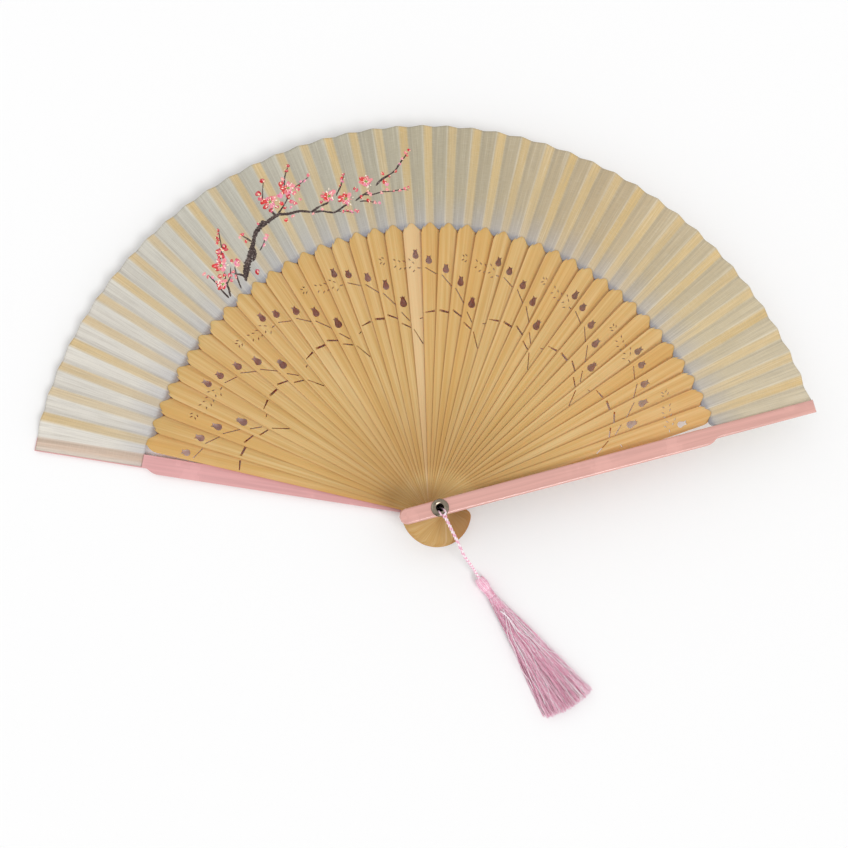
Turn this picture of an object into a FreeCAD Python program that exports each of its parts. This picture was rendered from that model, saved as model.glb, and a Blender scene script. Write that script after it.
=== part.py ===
import FreeCAD, Part

import math
import os

# A folding fan: forty pierced bamboo ribs between two lacquered guards, all turning on one metal
# eyelet, with a pleated silk leaf glued to the ribs' slips and a tassel on a cord through the eyelet.
# Millimetres. +Z is up and lies along the eyelet, the fan opens towards +Y, and the rear guard's back
# lies on z = 0. A stick's own frame has x outwards along the stick and y to its left.

# ---- Driving dimensions ----
OPEN_ANGLE = 156.3
GUARD_EXTRA = 0.65
RIB_COUNT = 40
REAR_ANGLE = 90.0 + OPEN_ANGLE / 2
FRONT_ANGLE = 90.0 - OPEN_ANGLE / 2
STEP = (OPEN_ANGLE - 2 * GUARD_EXTRA) / (RIB_COUNT + 1)

RIB_TAIL = 18.0
SHOULDER = 140.3
SLIP_END = 187.5
RIB_HALF_AT_TAIL = 3.7
RIB_HALF = 4.6
SLIP_HALF = 2.15
DOME_R = 7.0
DOME_LONG = 6.1
SLIP_TIP_ROUND = 1.2
RIB_THICK = 0.38
RIB_PITCH = 0.48

GUARD_TAIL = 19.0
REAR_TAIL = 16.0
GUARD_END = 190.3
GUARD_HALF_AT_TAIL = 3.7
GUARD_HALF = 4.25
GUARD_THICK = 2.6
STRIP_THICK = 1.3
STRIP_OUTER = 2.1
STEP_FROM = 132.0
STEP_TO = 138.5
STEP_TURNS_AT = 0.75
RECESS_FROM = 140.2
GUARD_ROUND = 1.1

# How steeply a rib leans across its width, left edge high: none at the head, most under the leaf.
LEAN_FLAT_TO = 22.0
LEAN_BODY_AT = 137.0
LEAN_SLIP_AT = 141.0
LEAN_BODY = math.tan(math.radians(8.0))
LEAN_SLIP = math.tan(math.radians(18.0))

CLEARANCE = 0.15
RIB_RISE = SLIP_HALF * LEAN_SLIP
FIRST_RIB_Z = GUARD_THICK + CLEARANCE + RIB_RISE + RIB_THICK / 2
LAST_RIB_Z = FIRST_RIB_Z + (RIB_COUNT - 1) * RIB_PITCH
FRONT_Z = LAST_RIB_Z + RIB_THICK / 2 + RIB_RISE + CLEARANCE
FRONT_TOP = FRONT_Z + GUARD_THICK

LEAF_INNER = 141.0
LEAF_OUTER = 190.0
LEAF_THICK = 0.14
GLUE = 0.1
CREASE = math.radians(STEP / 4)

BARREL_R = 2.25
BORE_R = 1.75
STICK_HOLE_R = 2.32
FLANGE_R = 4.15
FLANGE_THICK = 0.75
FLANGE_GAP = 0.1
POCKET_R = 2.95
POCKET_DEPTH = 1.9
WASHER_R = 2.8
LIP_R = 2.65

CORD_D = 1.6
TASSEL_TOP = (19.5, -33.9)
TASSEL_ANGLE = -56.4
HEAD_R = 2.7
HEAD_LONG = 7.5
NECK_R = 2.3
NECK_LONG = 3.2
SKIRT_LONG = 63.5
SKIRT_HALF = 13.0
SKIRT_RISE = 3.4
FLOOR_GAP = 0.1


# ---- Small helpers ----
def point(x, y, z=0.0):
    return FreeCAD.Vector(x, y, z)


def polygon(corners):
    return Part.makePolygon([point(*c) for c in corners + corners[:1]])


def arc(a, b, c):
    return Part.Arc(point(*a), point(*b), point(*c)).toShape()


def line(a, b):
    return Part.makeLine(point(*a), point(*b))


def rib_angle(k):
    """The guards stand a little further out than the ribs' even steps."""
    return REAR_ANGLE - GUARD_EXTRA - k * STEP


def placed(shape, angle, z=0.0):
    """A copy of a stick's shape, turned to its angle about the eyelet and lifted to its layer."""
    copy = shape.copy()
    copy.rotate(point(0, 0), point(0, 0, 1), angle)
    copy.translate(point(0, 0, z))
    return copy


def save(name, shape):
    if not shape.isValid() or shape.Volume <= 0:
        raise ValueError(name + " is not a valid solid")
    shape.exportStep("parts/" + name + ".step")
    print(name, len(shape.Faces), "faces", round(shape.Volume, 2), "mm3")


# ---- The pierced pattern of one rib, as wires in the rib's own frame ----
def slot(x1, y1, x2, y2, width, end_width=None):
    """A straight cut between two points, which may taper to end_width."""
    along = math.hypot(x2 - x1, y2 - y1)
    ux, uy = (x2 - x1) / along, (y2 - y1) / along
    a = width / 2
    b = a if end_width is None else end_width / 2
    return polygon([
        (x1 - uy * a, y1 + ux * a), (x1 + uy * a, y1 - ux * a),
        (x2 + uy * b, y2 - ux * b), (x2 - uy * b, y2 + ux * b),
    ])


def leaflet(x, y, lean, long=1.85, width=0.6):
    """A short pointed cut, its length leaning to the left of outwards by lean degrees."""
    ux, uy = math.cos(math.radians(lean)), math.sin(math.radians(lean))
    h, w = long / 2, width / 2
    return polygon([
        (x - ux * h, y - uy * h), (x + uy * w, y - ux * w),
        (x + ux * h, y + uy * h), (x - uy * w, y + ux * w),
    ])


def bud(x, y, width, height, prongs):
    """A flower bud: a round belly towards the eyelet and a crown of pointed prongs outwards."""
    r = width / 2
    belly = x - height / 2 + r
    neck = x + height * 0.22
    neck_half = width * 0.27
    tip = x + height / 2
    side = math.radians(25)
    left = (belly + r * math.sin(side), y + r * math.cos(side))
    right = (belly + r * math.sin(side), y - r * math.cos(side))
    edges = [arc(left, (belly - r, y), right), line(right, (neck, y - neck_half))]
    spread = width * 0.34
    crown = [(neck, y - neck_half)]
    for i in range(prongs):
        at = 0.0 if prongs == 1 else spread * (2 * i / (prongs - 1) - 1)
        crown.append((tip - 0.25 * abs(at), y + at))
        if i < prongs - 1:
            crown.append((neck + 0.12 * height, y + at + spread / (prongs - 1)))
    crown.append((neck, y + neck_half))
    edges += [line(a, b) for a, b in zip(crown, crown[1:])]
    edges.append(line(crown[-1], left))
    return Part.Wire(edges)


def spray(pairs):
    """Leaflets in pairs along a frond, each pair as (x, y, half the pair's spread)."""
    cuts = []
    for x, y, apart in pairs:
        cuts += [leaflet(x + apart, y, 42), leaflet(x - apart, y, -48)]
    return cuts


# The pattern runs across five neighbouring ribs and then starts again. A stem falls from the crown
# rib to the right, through the second and third rib, past the next frond's two ribs.
def frond_tip_rib():
    return [
        bud(111.5, 0.5, 3.2, 5.5, 2),
        *spray([(123.2, -0.9, 1.5), (123.2, 0.5, 1.0)]),
        slot(107.4, 2.65, 100.5, -2.3, 0.45),
        slot(96.4, 2.9, 93.7, -1.9, 0.85, 0.7),
    ]


def frond_rib():
    return [
        bud(101.6, 0.65, 3.5, 5.8, 3),
        *spray([(120.9, 1.9, 1.7), (119.8, -0.4, 1.9), (119.7, -2.7, 1.8)]),
        slot(96.4, 2.3, 91.7, -1.05, 0.45),
        slot(90.9, 3.0, 88.4, -1.05, 0.7, 0.6),
    ]


def crown_rib():
    return [
        bud(124.7, -0.6, 3.0, 5.2, 2),
        *spray([(119.8, 2.7, 2.0), (118.1, 0.9, 2.1)]),
        slot(117.6, -1.0, 117.4, -2.4, 0.5),
        slot(92.1, 0.0, 92.6, -1.4, 0.35, 0.5),
        slot(87.1, 3.4, 79.7, -0.5, 0.45),
    ]


def second_rib():
    return [
        bud(121.5, 1.2, 3.2, 4.6, 2),
        slot(117.3, 3.0, 114.2, -2.6, 0.45),
        slot(94.9, 3.6, 95.8, -1.2, 0.4, 0.95),
    ]


def third_rib():
    return [
        bud(117.2, 0.6, 3.2, 5.0, 2),
        slot(113.7, 2.5, 108.2, -2.8, 0.45),
        slot(96.0, 3.0, 95.2, -1.7, 1.1, 1.0),
    ]


PATTERN = [second_rib, third_rib, frond_tip_rib, frond_rib, crown_rib]


# ---- Ribs ----
def rib_blank():
    """A leaning band of the rib's thickness, wider than any rib."""
    half = RIB_HALF + 1.0
    stations = [
        (-RIB_TAIL - 1, 0.0), (LEAN_FLAT_TO, 0.0), (LEAN_BODY_AT, LEAN_BODY),
        (LEAN_SLIP_AT, LEAN_SLIP), (SLIP_END + 1, LEAN_SLIP),
    ]
    sections = [
        polygon([
            (x, -half, -half * lean - RIB_THICK / 2), (x, half, half * lean - RIB_THICK / 2),
            (x, half, half * lean + RIB_THICK / 2), (x, -half, -half * lean + RIB_THICK / 2),
        ])
        for x, lean in stations
    ]
    return Part.makeLoft(sections, True, True)


def rib_outline():
    """A rounded tail, a body that widens outwards to a pointed shoulder, and a narrow slip."""
    tail = RIB_HALF_AT_TAIL
    tail_x = -RIB_TAIL + tail
    dome_x = SHOULDER - DOME_LONG
    swing = math.acos(1 - (RIB_HALF - SLIP_HALF) / DOME_R)
    slip_x = dome_x + DOME_R * math.sin(swing)
    mid = (dome_x + DOME_R * math.sin(swing / 2), RIB_HALF - DOME_R * (1 - math.cos(swing / 2)))
    end = SLIP_END - SLIP_TIP_ROUND
    tip = SLIP_HALF - SLIP_TIP_ROUND
    turn = SLIP_TIP_ROUND * math.sqrt(0.5)
    half = [
        line((tail_x, tail), (dome_x, RIB_HALF)),
        arc((dome_x, RIB_HALF), mid, (slip_x, SLIP_HALF)),
        line((slip_x, SLIP_HALF), (end, SLIP_HALF)),
        arc((end, SLIP_HALF), (end + turn, tip + turn), (SLIP_END, tip)),
    ]
    other = [e.mirror(point(0, 0), point(0, 1)) for e in half]
    ends = [
        line((SLIP_END, tip), (SLIP_END, -tip)),
        arc((tail_x, -tail), (-RIB_TAIL, 0), (tail_x, tail)),
    ]
    return Part.Wire(Part.__sortEdges__(half + other + ends))


def pierced_rib(pattern):
    pivot = Part.Wire(Part.makeCircle(STICK_HOLE_R))
    wires = [rib_outline(), pivot] + pattern()
    face = Part.makeFace(wires, "Part::FaceMakerBullseye")
    face.translate(point(0, 0, -3))
    prism = face.extrude(point(0, 0, 6))
    rib = rib_blank().common(prism)
    if len(rib.Solids) != 1:
        raise ValueError("the pattern cuts a rib apart")
    return rib.Solids[0]


# ---- Guards ----
def strip_outline():
    """Everything beyond the shoulder, a little wider than the strip."""
    low, high = -STRIP_OUTER - 1, GUARD_HALF + 1
    return polygon([(RECESS_FROM, low), (GUARD_END + 1, low), (GUARD_END + 1, high), (RECESS_FROM, high)])


def guard_outline(tail_end):
    """The front guard from above: its outer, right-hand side steps in at the shoulder."""
    h, s, tail = GUARD_HALF, STRIP_OUTER, GUARD_HALF_AT_TAIL
    tail_x = -tail_end + tail
    long, deep = STEP_TO - STEP_FROM, h - s
    turn = (STEP_FROM + STEP_TURNS_AT * long, -h + STEP_TURNS_AT * deep)
    swing = 2 * math.atan2(deep, long)
    radius = (long**2 + deep**2) / (2 * deep)
    round_r, hollow_r = STEP_TURNS_AT * radius, (1 - STEP_TURNS_AT) * radius
    across, rise = math.sin(swing / 2), 1 - math.cos(swing / 2)
    edges = [
        arc((tail_x, tail), (-tail_end, 0), (tail_x, -tail)),
        line((tail_x, -tail), (STEP_FROM, -h)),
        arc((STEP_FROM, -h), (STEP_FROM + round_r * across, -h + round_r * rise), turn),
        arc(turn, (STEP_TO - hollow_r * across, -s - hollow_r * rise), (STEP_TO, -s)),
        line((STEP_TO, -s), (GUARD_END, -s)),
        line((GUARD_END, -s), (GUARD_END, h)),
        line((GUARD_END, h), (STEP_FROM, h)),
        line((STEP_FROM, h), (tail_x, tail)),
    ]
    return Part.Wire(edges)


def guard(tail_end):
    """A front guard with its back on z = 0, rounded edges on top and a recess behind the strip."""
    body = Part.Face(guard_outline(tail_end)).extrude(point(0, 0, GUARD_THICK))
    rim = [e for e in body.Edges if all(abs(v.Z - GUARD_THICK) < 1e-6 for v in e.Vertexes)]
    body = body.makeFillet(GUARD_ROUND, rim)
    recess = Part.Face(strip_outline()).extrude(point(0, 0, GUARD_THICK - STRIP_THICK))
    body = body.cut(recess)
    return body.cut(Part.makeCylinder(STICK_HOLE_R, GUARD_THICK + 2, point(0, 0, -1)))


def rear_guard():
    """The same piece turned over, shorter at the tail, with a pocket in its outer face for the eyelet."""
    body = guard(REAR_TAIL)
    body.rotate(point(0, 0, GUARD_THICK / 2), point(1, 0, 0), 180)
    return body.cut(Part.makeCylinder(POCKET_R, POCKET_DEPTH))


# ---- Leaf ----
def stick_point(angle, x, y, z):
    a = math.radians(angle)
    return point(x * math.cos(a) - y * math.sin(a), x * math.sin(a) + y * math.cos(a), z)


def fold_lines():
    """The leaf's lines from left to right, as pairs of points on its underside: inner, outer."""
    lines = []
    flat = STRIP_THICK + GLUE
    for y in (STRIP_OUTER - 0.3, -GUARD_HALF + 0.2):
        lines.append([stick_point(REAR_ANGLE, x, y, flat) for x in (LEAF_INNER, LEAF_OUTER)])
    for k in range(1, RIB_COUNT + 1):
        angle = rib_angle(k)
        z = FIRST_RIB_Z + (k - 1) * RIB_PITCH + RIB_THICK / 2 + GLUE
        for side in (CREASE, -CREASE):
            pair = []
            for r in (LEAF_INNER, LEAF_OUTER):
                x, y = r * math.cos(side), r * math.sin(side)
                pair.append(stick_point(angle, x, y, z + y * LEAN_SLIP))
            lines.append(pair)
    under = FRONT_TOP - STRIP_THICK - GLUE - LEAF_THICK
    for y in (GUARD_HALF - 0.2, -STRIP_OUTER + 0.3):
        lines.append([stick_point(FRONT_ANGLE, x, y, under) for x in (LEAF_INNER, LEAF_OUTER)])
    return lines


def ruled(a, b, c, d):
    """The face between the edges a-b and c-d."""
    return Part.makeRuledSurface(Part.makeLine(a, b), Part.makeLine(c, d))


def silk_leaf():
    up = point(0, 0, LEAF_THICK)
    lines = fold_lines()
    faces = []
    for (a, b), (c, d) in zip(lines, lines[1:]):
        faces.append(ruled(a, b, c, d))
        faces.append(ruled(a + up, b + up, c + up, d + up))
        for p, q in ((a, c), (b, d)):
            faces.append(Part.Face(Part.makePolygon([p, q, q + up, p + up, p])))
    for a, b in (lines[0], lines[-1]):
        faces.append(Part.Face(Part.makePolygon([a, b, b + up, a + up, a])))
    shell = Part.makeShell(faces)
    shell.sewShape()
    solid = Part.makeSolid(Part.Shell(shell.Faces))
    if solid.Volume < 0:
        solid.reverse()
    return solid


# ---- Eyelet ----
def eyelet():
    """A barrel with a rolled flange on the front and a clenched lip over the washer at the back."""
    top = FRONT_TOP + FLANGE_GAP
    lip = POCKET_DEPTH - 1.1
    roll = 0.32
    crest = (BORE_R + FLANGE_R) / 2
    profile = Part.Wire([
        line((BORE_R, 0, lip), (LIP_R, 0, lip)),
        line((LIP_R, 0, lip), (LIP_R, 0, lip + 0.45)),
        line((LIP_R, 0, lip + 0.45), (BARREL_R, 0, lip + 0.45)),
        line((BARREL_R, 0, lip + 0.45), (BARREL_R, 0, top)),
        line((BARREL_R, 0, top), (FLANGE_R, 0, top)),
        line((FLANGE_R, 0, top), (FLANGE_R, 0, top + roll)),
        arc((FLANGE_R, 0, top + roll), (crest, 0, top + FLANGE_THICK), (BORE_R, 0, top + roll)),
        line((BORE_R, 0, top + roll), (BORE_R, 0, lip)),
    ])
    return Part.Face(profile).revolve(point(0, 0), point(0, 0, 1), 360)


def back_washer():
    z = POCKET_DEPTH - 0.6
    ring = Part.makeCylinder(WASHER_R, 0.55, point(0, 0, z))
    return ring.cut(Part.makeCylinder(BARREL_R + 0.05, 2, point(0, 0, z - 0.5)))


# ---- Cord and tassel ----
# Up through the eyelet, over the flange and clear of the tails that swing below, then down to the floor.
CORD_ROUTE = [
    (0.0, 0.0, 0.6), (0.0, 0.0, 28.0), (2.2, -5.0, 27.9), (4.6, -10.6, 28.4), (7.4, -17.1, 28.4),
    (9.8, -22.6, 25.3), (12.9, -25.8, 19.3), (15.6, -28.6, 12.4), (17.9, -31.3, 6.2), (20.8, -35.8, 3.0),
    (25.1, -42.3, 2.8), (30.6, -50.6, 3.3),
]
TIGHTEST_SHARE = 0.45


def rounded_path(points):
    """Straight runs joined by tangent arcs, each as large as its two runs allow."""
    edges = []
    start = points[0]
    for before, corner, after in zip(points, points[1:], points[2:]):
        back, ahead = (before - corner), (after - corner)
        turn = math.pi - back.getAngle(ahead)
        tangent = TIGHTEST_SHARE * min(back.Length, ahead.Length)
        radius = tangent / math.tan(turn / 2)
        print("cord bend of", round(math.degrees(turn), 1), "degrees, radius", round(radius, 2))
        back.normalize()
        ahead.normalize()
        enter, leave = corner + back * tangent, corner + ahead * tangent
        inward = back + ahead
        inward.normalize()
        middle = corner + inward * (radius / math.cos(turn / 2) - radius)
        edges.append(Part.makeLine(start, enter))
        edges.append(Part.Arc(enter, middle, leave).toShape())
        start = leave
    edges.append(Part.makeLine(start, points[-1]))
    return Part.Wire(edges)


def tassel_cord():
    path = rounded_path([point(*p) for p in CORD_ROUTE])
    profile = Part.Wire(Part.makeCircle(CORD_D / 2, point(*CORD_ROUTE[0]), point(0, 0, 1)))
    tube = path.makePipeShell([profile], True, False)
    print("cord length", round(path.Length, 1), "volume ratio",
          round(tube.Volume / (path.Length * math.pi * CORD_D**2 / 4), 4))
    return tube


def stopper_knot():
    """The cord's end knot, pressed flat into the pocket behind the eyelet."""
    flat = Part.makeCylinder(2.35, 0.55, point(0, 0, 0.12))
    return flat.makeFillet(0.2, flat.Edges)


def along_tassel(shape):
    """Turns a shape built along +X from the tassel's top into its place on the floor."""
    shape.rotate(point(0, 0), point(0, 0, 1), TASSEL_ANGLE)
    shape.translate(point(*TASSEL_TOP))
    return shape


def tassel_head():
    """A barrel-shaped knot cap lying on the floor."""
    z = HEAD_R + FLOOR_GAP
    small = 1.5
    profile = Part.Wire([
        line((0, 0, z), (0, 0, z + small)),
        arc((0, 0, z + small), (HEAD_LONG / 2, 0, z + HEAD_R), (HEAD_LONG, 0, z + NECK_R - 0.2)),
        line((HEAD_LONG, 0, z + NECK_R - 0.2), (HEAD_LONG, 0, z)),
        line((HEAD_LONG, 0, z), (0, 0, z)),
    ])
    return along_tassel(Part.Face(profile).revolve(point(0, 0, z), point(1, 0, 0), 360))


def tassel_neck():
    z = HEAD_R + FLOOR_GAP
    band = Part.makeCylinder(NECK_R, NECK_LONG, point(HEAD_LONG, 0, z), point(1, 0, 0))
    return along_tassel(band)


def tassel_skirt():
    """The hanging threads as one plain solid: round at the neck, flat and wide at the cut end."""
    start = HEAD_LONG + NECK_LONG
    stations = [(0.0, NECK_R - 0.2, NECK_R - 0.2), (0.3, 5.0, 3.2), (1.0, SKIRT_HALF, SKIRT_RISE)]
    sections = []
    for share, half, rise in stations:
        x = start + share * SKIRT_LONG
        z = max(rise, HEAD_R * (1 - share)) + FLOOR_GAP
        ellipse = Part.Ellipse(point(0, 0), max(half, rise + 0.01), rise).toShape()
        ring = Part.Wire(ellipse)
        across = FreeCAD.Rotation(point(0, 1, 0), point(0, 0, 1), point(1, 0, 0), "XYZ")
        ring.Placement = FreeCAD.Placement(point(x, 0, z), across)
        sections.append(ring)
    return along_tassel(Part.makeLoft(sections, True, False))


# ---- Everything ----
def main():
    os.makedirs("parts", exist_ok=True)
    save("rear_guard", placed(rear_guard(), REAR_ANGLE))
    save("front_guard", placed(guard(GUARD_TAIL), FRONT_ANGLE, FRONT_Z))
    kinds = [pierced_rib(pattern) for pattern in PATTERN]
    for k in range(1, RIB_COUNT + 1):
        z = FIRST_RIB_Z + (k - 1) * RIB_PITCH
        save("rib_%02d" % k, placed(kinds[(k - 1) % len(kinds)], rib_angle(k), z))
    save("silk_leaf", silk_leaf())
    save("eyelet", eyelet())
    save("back_washer", back_washer())
    save("tassel_cord", tassel_cord())
    save("stopper_knot", stopper_knot())
    save("tassel_head", tassel_head())
    save("tassel_neck", tassel_neck())
    save("tassel_skirt", tassel_skirt())


main()
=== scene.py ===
import bpy
import math
import numpy as np
from mathutils import Matrix, Vector


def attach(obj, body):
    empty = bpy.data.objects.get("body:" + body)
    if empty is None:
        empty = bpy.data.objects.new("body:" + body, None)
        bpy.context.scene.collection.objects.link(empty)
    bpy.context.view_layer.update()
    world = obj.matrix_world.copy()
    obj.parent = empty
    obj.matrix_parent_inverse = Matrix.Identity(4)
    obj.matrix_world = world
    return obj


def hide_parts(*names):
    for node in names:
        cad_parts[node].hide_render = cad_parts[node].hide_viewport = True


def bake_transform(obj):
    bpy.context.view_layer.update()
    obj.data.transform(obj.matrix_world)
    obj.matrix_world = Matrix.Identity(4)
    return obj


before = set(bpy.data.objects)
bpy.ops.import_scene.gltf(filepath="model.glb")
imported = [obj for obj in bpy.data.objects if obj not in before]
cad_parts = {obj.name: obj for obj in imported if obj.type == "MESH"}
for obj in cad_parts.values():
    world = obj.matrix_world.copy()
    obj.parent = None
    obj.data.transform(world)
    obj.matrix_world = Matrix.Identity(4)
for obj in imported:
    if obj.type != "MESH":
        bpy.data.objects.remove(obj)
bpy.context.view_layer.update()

# The looks of an open folding fan that lies on a pale table. Lengths here are in millimetres, in the
# part's own frame, and are turned into metres where a mesh is made. "Stick" numbers run from 0, the
# rear guard on the left, over the ribs 1 to 40, to 41, the front guard on the right.
MM = 0.001

# ---- The part's own sizes, as in its CAD source ----
OPEN_ANGLE = 156.3
GUARD_EXTRA = 0.65
RIB_COUNT = 40
REAR_ANGLE = 90.0 + OPEN_ANGLE / 2
FRONT_ANGLE = 90.0 - OPEN_ANGLE / 2
STEP = (OPEN_ANGLE - 2 * GUARD_EXTRA) / (RIB_COUNT + 1)
RIB_HALF = 4.6
SLIP_HALF = 2.15
RIB_THICK = 0.38
RIB_PITCH = 0.48
GUARD_THICK = 2.6
GUARD_HALF = 4.25
STRIP_THICK = 1.3
STRIP_OUTER = 2.1
LEAN_SLIP = math.tan(math.radians(18.0))
CLEARANCE = 0.15
RIB_RISE = SLIP_HALF * LEAN_SLIP
FIRST_RIB_Z = GUARD_THICK + CLEARANCE + RIB_RISE + RIB_THICK / 2
LAST_RIB_Z = FIRST_RIB_Z + (RIB_COUNT - 1) * RIB_PITCH
FRONT_TOP = LAST_RIB_Z + RIB_THICK / 2 + RIB_RISE + CLEARANCE + GUARD_THICK
LEAF_OUTER = 190.0
LEAF_THICK = 0.14
GLUE = 0.1
CREASE = STEP / 4
BARREL_R = 2.25
BORE_R = 1.75
FLANGE_R = 4.15
FLANGE_GAP = 0.1
POCKET_DEPTH = 1.9
TASSEL_TOP = (19.5, -33.9)
TASSEL_ANGLE = -56.4
HEAD_R = 2.7
HEAD_LONG = 7.5
NECK_R = 2.3
NECK_LONG = 3.2
SKIRT_LONG = 63.5
SKIRT_HALF = 13.0
CORD_ROUTE = [
    (0.0, 0.0, 0.6), (0.0, 0.0, 28.0), (2.2, -5.0, 27.9), (4.6, -10.6, 28.4), (7.4, -17.1, 28.4),
    (9.8, -22.6, 25.3), (12.9, -25.8, 19.3), (15.6, -28.6, 12.4), (17.9, -31.3, 6.2), (20.8, -35.8, 3.0),
    (25.1, -42.3, 2.8), (30.6, -50.6, 3.3),
]

# The sideways direction where the cord runs straight up and has none of its own.
CORD_SIDE = (0.92, 0.39, 0.0)

# ---- Sizes that only the looks use ----
# The silk starts 0.8 mm nearer to the eyelet than its CAD solid does.
LEAF_INNER = 140.2
ROLL_LOW = 0.18
ROLL_HIGH = 0.52
LIP_DEPTH = 1.1
GUARD_SPAN = RIB_HALF * 3
STRIP_MARGIN = 0.3
TASSEL_AXIS = HEAD_R + 0.1
WEAVE_PER_STEP = 12.0
PALE_RIB = 20

# Every random choice is drawn from here in a fixed order, so each run gives the same fan.
rng = np.random.default_rng(41)


# ---- Small helpers ----
def linear(r, g, b):
    """An sRGB colour from 0 to 255 as Blender's linear one."""
    return tuple(((c / 255 + 0.055) / 1.055) ** 2.4 if c > 10 else c / 3294.6 for c in (r, g, b)) + (1.0,)


def mesh_object(name, verts, faces, smooth=True):
    """A mesh from points in millimetres."""
    mesh = bpy.data.meshes.new(name)
    mesh.from_pydata([tuple(v) for v in np.asarray(verts, float) * MM], [], faces)
    mesh.update()
    if smooth:
        mesh.polygons.foreach_set("use_smooth", [True] * len(mesh.polygons))
    obj = bpy.data.objects.new(name, mesh)
    bpy.context.scene.collection.objects.link(obj)
    return obj


def mixed(a, b, share):
    """Values between a and b."""
    return a * (1 - share) + b * share


def eased(share):
    """A share from 0 to 1 that starts and ends gently."""
    return share * share * (3 - 2 * share)


def tone(r, g, b):
    """An sRGB colour from 0 to 255 as three linear numbers."""
    return np.array(linear(r, g, b)[:3])


def paint(obj, colours):
    """A colour for each point, which the materials read from the attribute named paint."""
    layer = obj.data.color_attributes.new("paint", "FLOAT_COLOR", "POINT")
    layer.data.foreach_set("color", np.asarray(colours, np.float32).ravel())


def finish_with(obj, material):
    obj.data.materials.clear()
    obj.data.materials.append(material)


def turned(points, degrees):
    """Points turned about the eyelet's axis."""
    a = math.radians(degrees)
    p = np.asarray(points, float)
    x = p[..., 0] * math.cos(a) - p[..., 1] * math.sin(a)
    y = p[..., 0] * math.sin(a) + p[..., 1] * math.cos(a)
    return np.stack([x, y, p[..., 2]], -1)


def lathe(profile, around=64):
    """Points and faces of a profile of (r, z) turned about the z axis, closed into a ring."""
    verts, faces = [], []
    n = len(profile)
    for i in range(around):
        a = 2 * math.pi * i / around
        verts += [(r * math.cos(a), r * math.sin(a), z) for r, z in profile]
    for i in range(around):
        j = (i + 1) % around
        for k in range(n):
            m = (k + 1) % n
            faces.append((i * n + k, j * n + k, j * n + m, i * n + m))
    return verts, faces


def tube(points, radius, sides, phase=0.0):
    """Points and faces of a closed tube along a line."""
    p = np.asarray(points, float)
    along = np.gradient(p, axis=0)
    along /= np.linalg.norm(along, axis=1)[:, None]
    side = np.cross(along, (0.0, 0.0, 1.0))
    flat = np.linalg.norm(side, axis=1)
    side[flat < 0.05] = CORD_SIDE
    side /= np.linalg.norm(side, axis=1)[:, None]
    up = np.cross(side, along)
    verts = []
    for i in range(sides):
        a = 2 * math.pi * i / sides + phase
        verts.append(p + radius * (math.cos(a) * side + math.sin(a) * up))
    verts = np.stack(verts, 1).reshape(-1, 3)
    faces = []
    for k in range(len(p) - 1):
        for i in range(sides):
            j = (i + 1) % sides
            faces.append((k * sides + i, k * sides + j, (k + 1) * sides + j, (k + 1) * sides + i))
    faces.append(tuple(range(sides))[::-1])
    faces.append(tuple((len(p) - 1) * sides + i for i in range(sides)))
    return verts, faces


def gather(parts):
    """Several (points, faces) as one."""
    verts, faces, start = [], [], 0
    for v, f in parts:
        verts.append(np.asarray(v, float))
        faces += [tuple(start + i for i in face) for face in f]
        start += len(v)
    return np.concatenate(verts), faces


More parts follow.
